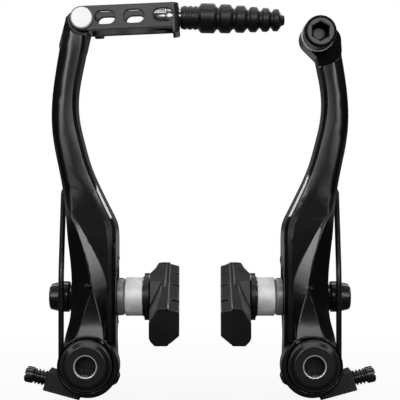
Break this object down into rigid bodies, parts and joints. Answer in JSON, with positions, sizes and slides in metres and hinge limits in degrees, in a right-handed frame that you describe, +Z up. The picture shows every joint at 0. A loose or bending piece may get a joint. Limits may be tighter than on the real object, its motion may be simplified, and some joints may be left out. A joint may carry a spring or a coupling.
{
  "type": "v brake",
  "caption": "Black linear-pull bicycle rim brake: forged arms on pivot bolts, threaded-stud shoes, return springs with tension screws, and a cable link with a bellows boot.",
  "frame": {"origin": "midway between the two pivot axes, at the depth of the arms' middle", "axes": "+X to the right arm as seen from the front, +Y back along both pivot axes towards the bicycle frame, +Z up the arms"},
  "size_m": [0.1118, 0.0709, 0.126],
  "materials": {
    "arm_paint": "satin",
    "black_steel": "satin",
    "bare_steel": "satin",
    "spring_wire": "satin",
    "black_plastic": "satin",
    "pad_rubber": "matte",
    "boot_rubber": "matte",
    "grey_washer": "satin",
    "pale_alloy": "matte",
    "link_metal": "satin",
    "bright_pin": "polished"
  },
  "bodies": {
    "pivot_hardware": {"left_pivot_bushing": "bare_steel", "left_pivot_bolt": "black_steel", "left_spring_holder": "black_plastic", "left_stopper_pin": "bare_steel", "left_return_spring": "spring_wire", "right_pivot_bushing": "bare_steel", "right_pivot_bolt": "black_steel", "right_spring_holder": "black_plastic", "right_stopper_pin": "bare_steel", "right_return_spring": "spring_wire"},
    "left_lever": {"left_arm": "arm_paint", "left_brake_pad": "pad_rubber", "left_pad_stud": "bare_steel", "left_pad_washer": "black_steel", "left_inner_dome_washer": "grey_washer", "left_spacer": "pale_alloy", "left_outer_dome_washer": "black_steel", "left_outer_cup_washer": "black_steel", "left_shoe_nut": "black_steel", "link_pin": "bright_pin"},
    "right_lever": {"right_arm": "arm_paint", "right_brake_pad": "pad_rubber", "right_pad_stud": "bare_steel", "right_pad_washer": "black_steel", "right_inner_dome_washer": "grey_washer", "right_spacer": "pale_alloy", "right_outer_dome_washer": "black_steel", "right_outer_cup_washer": "black_steel", "right_shoe_nut": "black_steel", "cable_clamp_bolt": "black_steel", "cable_clamp_washer": "black_steel"},
    "cable_link": {"link_channel": "link_metal", "lead_ferrule": "bare_steel", "cable_boot": "boot_rubber"},
    "left_adjuster": {"left_tension_screw": "black_steel"},
    "right_adjuster": {"right_tension_screw": "black_steel"}
  },
  "joints": [
    {"name": "left_arm_pivot", "type": "hinge", "parent": "pivot_hardware", "child": "left_lever", "pos_m": [-0.035, 0, 0], "axis": [0, 1, 0], "range_deg": [-22, 2], "stiffness_Nm_per_rad": 1.8, "deforming": ["left_return_spring"]},
    {"name": "right_arm_pivot", "type": "hinge", "parent": "pivot_hardware", "child": "right_lever", "pos_m": [0.035, 0, 0], "axis": [0, -1, 0], "range_deg": [-22, 2], "stiffness_Nm_per_rad": 1.8, "deforming": ["right_return_spring"]},
    {"name": "link_swing", "type": "hinge", "parent": "left_lever", "child": "cable_link", "pos_m": [-0.037, 0, 0.1078], "axis": [0, -1, 0], "range_deg": [-25, 70]},
    {"name": "left_screw_travel", "type": "slide", "parent": "pivot_hardware", "child": "left_adjuster", "axis": [-0.9724, 0, 0.2334], "range_m": [0, 0.003]},
    {"name": "right_screw_travel", "type": "slide", "parent": "pivot_hardware", "child": "right_adjuster", "axis": [0.9724, 0, 0.2334], "range_m": [0, 0.003]}
  ]
}
